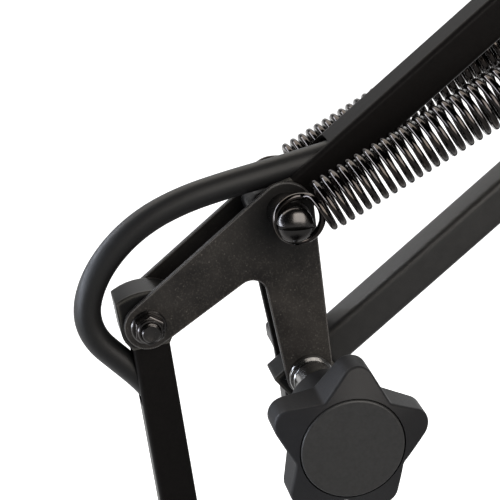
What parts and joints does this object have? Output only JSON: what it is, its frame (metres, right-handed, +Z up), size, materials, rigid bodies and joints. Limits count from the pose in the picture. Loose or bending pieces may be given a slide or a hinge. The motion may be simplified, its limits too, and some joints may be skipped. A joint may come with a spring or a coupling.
{
  "type": "microphone boom arm",
  "caption": "Desk-clamped microphone boom arm of parallel square-tube bars with balancing springs, a friction knob at the elbow, a looped cable and a threaded head.",
  "frame": {"origin": "on the desk's top face, under the swivel axis", "axes": "+Z up along the swivel axis, +X towards the microphone at rest, -Y the side with the large knob"},
  "size_m": [0.4174, 0.0909, 0.9316],
  "materials": {
    "powder_coat": "fine-textured satin black powder coat",
    "tube_enamel": "satin black stoving enamel",
    "knuckle_nylon": "matt moulded nylon",
    "spring_steel": "black nickel plated spring wire",
    "black_zinc": "black zinc plated",
    "bright_steel": "bright nickel",
    "bush_nylon": "plain nylon",
    "collar_enamel": "satin black enamel",
    "cable_jacket": "matt black soft PVC",
    "plug_shell": "black chromed die casting",
    "knob_plastic": "matt moulded black plastic",
    "clamp_enamel": "satin black enamel on cast metal",
    "pad_rubber": "matt black rubber"
  },
  "bodies": {
    "clamp": {"clamp_frame": "clamp_enamel", "socket_bush": "bush_nylon", "upper_jaw_pad": "pad_rubber"},
    "thumbscrew": {"socket_thumbscrew": "knob_plastic"},
    "pad": {"clamp_pad": "clamp_enamel", "lower_jaw_pad": "pad_rubber"},
    "screw": {"clamp_screw": "black_zinc", "tommy_bar": "black_zinc", "tommy_bar_caps": "knob_plastic"},
    "base_yoke": {"base_spigot": "bright_steel", "base_block": "knuckle_nylon", "base_plates": "powder_coat", "base_pivot_bolts": "black_zinc", "base_pivot_nuts": "black_zinc", "base_pivot_bushes": "bush_nylon", "base_spring_studs": "black_zinc", "base_tail": "cable_jacket", "base_plug": "plug_shell"},
    "lower_main_bar": {"lower_main_tube": "tube_enamel", "lower_main_knuckles": "knuckle_nylon", "lower_anchor_collar": "collar_enamel", "lower_spring_links": "black_zinc", "base_lead": "cable_jacket"},
    "lower_second_bar": {"lower_second_tube": "tube_enamel", "lower_second_knuckles": "knuckle_nylon"},
    "lower_springs": {"lower_spring_front": "spring_steel", "lower_spring_rear": "spring_steel"},
    "lower_spring_ends": {"lower_spring_pins": "black_zinc"},
    "elbow": {"elbow_plate_front": "powder_coat", "elbow_plate_rear": "powder_coat", "elbow_bushes": "bush_nylon", "elbow_pivot_bolts": "black_zinc", "elbow_left_nut": "black_zinc", "elbow_spring_studs": "black_zinc", "elbow_stud_screws": "black_zinc", "elbow_knob_bolt": "black_zinc", "elbow_knob_collar": "bright_steel", "cable_loop_lower": "cable_jacket", "cable_loop_upper": "cable_jacket", "upper_spring_front": "spring_steel", "upper_spring_rear": "spring_steel"},
    "large_knob": {"elbow_knob": "knob_plastic", "elbow_knob_cap": "knob_plastic"},
    "upper_top_bar": {"upper_top_tube": "tube_enamel", "upper_top_knuckles": "knuckle_nylon", "mic_lead": "cable_jacket"},
    "upper_second_bar": {"upper_second_tube": "tube_enamel", "upper_second_knuckles": "knuckle_nylon", "upper_anchor_collar": "collar_enamel", "upper_spring_links": "black_zinc", "upper_spring_pins": "black_zinc"},
    "head_yoke": {"head_plates": "powder_coat", "head_pivot_bolts": "black_zinc", "head_pivot_nuts": "black_zinc", "head_pivot_bushes": "bush_nylon", "mic_tail": "cable_jacket", "mic_socket": "plug_shell"},
    "mic_swivel": {"mic_knuckle": "knuckle_nylon", "mic_stud": "bright_steel"},
    "small_knob": {"head_knob": "knob_plastic"}
  },
  "joints": [
    {"name": "thumbscrew_turn", "type": "hinge", "parent": "clamp", "child": "thumbscrew", "pos_m": [0, -0.015, 0.028], "axis": [0, -1, 0], "continuous": true},
    {"name": "pad_slide", "type": "slide", "parent": "clamp", "child": "pad", "axis": [0, 0, 1], "range_m": [-0.008, 0.025]},
    {"name": "screw_turn", "type": "hinge", "parent": "pad", "child": "screw", "pos_m": [0.004, 0, -0.09], "axis": [0, 0, 1], "range_deg": [-970, 3010]},
    {"name": "base_swivel", "type": "hinge", "parent": "clamp", "child": "base_yoke", "pos_m": [0, 0, 0.04], "axis": [0, 0, 1], "range_deg": [-170, 170]},
    {"name": "lower_tilt", "type": "hinge", "parent": "base_yoke", "child": "lower_main_bar", "pos_m": [-0.0215, 0, 0.0795], "axis": [0, -1, 0], "range_deg": [-35, 27], "deforming": ["base_tail", "cable_loop_lower", "lower_spring_front", "lower_spring_rear"]},
    {"name": "lower_second_tilt", "type": "hinge", "parent": "base_yoke", "child": "lower_second_bar", "pos_m": [0.02144, 0.0121, 0.06205], "axis": [0, -1, 0], "range_deg": [-35.5, 27.5]},
    {"name": "lower_spring_sway", "type": "hinge", "parent": "base_yoke", "child": "lower_springs", "pos_m": [-0.00705, 0, 0.07363], "axis": [0, -1, 0], "range_deg": [-31.6, 24.4]},
    {"name": "lower_spring_stretch", "type": "slide", "parent": "lower_springs", "child": "lower_spring_ends", "axis": [-0.2004, 0, 0.9797], "range_m": [-0.0085, 0.0067]},
    {"name": "elbow_level", "type": "hinge", "parent": "lower_main_bar", "child": "elbow", "pos_m": [-0.07504, 0, 0.45571], "axis": [0, -1, 0], "range_deg": [-27.5, 35.5]},
    {"name": "large_knob_turn", "type": "hinge", "parent": "elbow", "child": "large_knob", "pos_m": [-0.03211, -0.03, 0.43826], "axis": [0, -1, 0], "continuous": true},
    {"name": "upper_tilt", "type": "hinge", "parent": "elbow", "child": "upper_top_bar", "pos_m": [-0.03922, 0, 0.48472], "axis": [0, -1, 0], "range_deg": [-35, 20], "deforming": ["cable_loop_upper", "mic_tail", "upper_spring_front", "upper_spring_rear"]},
    {"name": "upper_second_tilt", "type": "hinge", "parent": "elbow", "child": "upper_second_bar", "pos_m": [-0.03211, 0, 0.43826], "axis": [0, -1, 0], "range_deg": [-35.5, 20.5]},
    {"name": "head_level", "type": "hinge", "parent": "upper_top_bar", "child": "head_yoke", "pos_m": [0.24995, 0, 0.73126], "axis": [0, -1, 0], "range_deg": [-20.5, 35.5]},
    {"name": "mic_tilt", "type": "hinge", "parent": "head_yoke", "child": "mic_swivel", "pos_m": [0.28195, 0, 0.72526], "axis": [0, -1, 0], "range_deg": [-90, 50]},
    {"name": "small_knob_turn", "type": "hinge", "parent": "head_yoke", "child": "small_knob", "pos_m": [0.28195, -0.015, 0.72526], "axis": [0, -1, 0], "continuous": true}
  ],
  "couplings": [
    {"joint": "screw_turn", "follows": "pad_slide", "rad_per_m": 2094.4},
    {"joint": "lower_second_tilt", "follows": "lower_tilt", "ratio": 1},
    {"joint": "elbow_level", "follows": "lower_tilt", "ratio": -1},
    {"joint": "lower_spring_sway", "follows": "lower_tilt", "ratio": 0.888},
    {"joint": "lower_spring_stretch", "follows": "lower_tilt", "m_per_rad": 0.01316},
    {"joint": "upper_second_tilt", "follows": "upper_tilt", "ratio": 1},
    {"joint": "head_level", "follows": "upper_tilt", "ratio": -1}
  ]
}
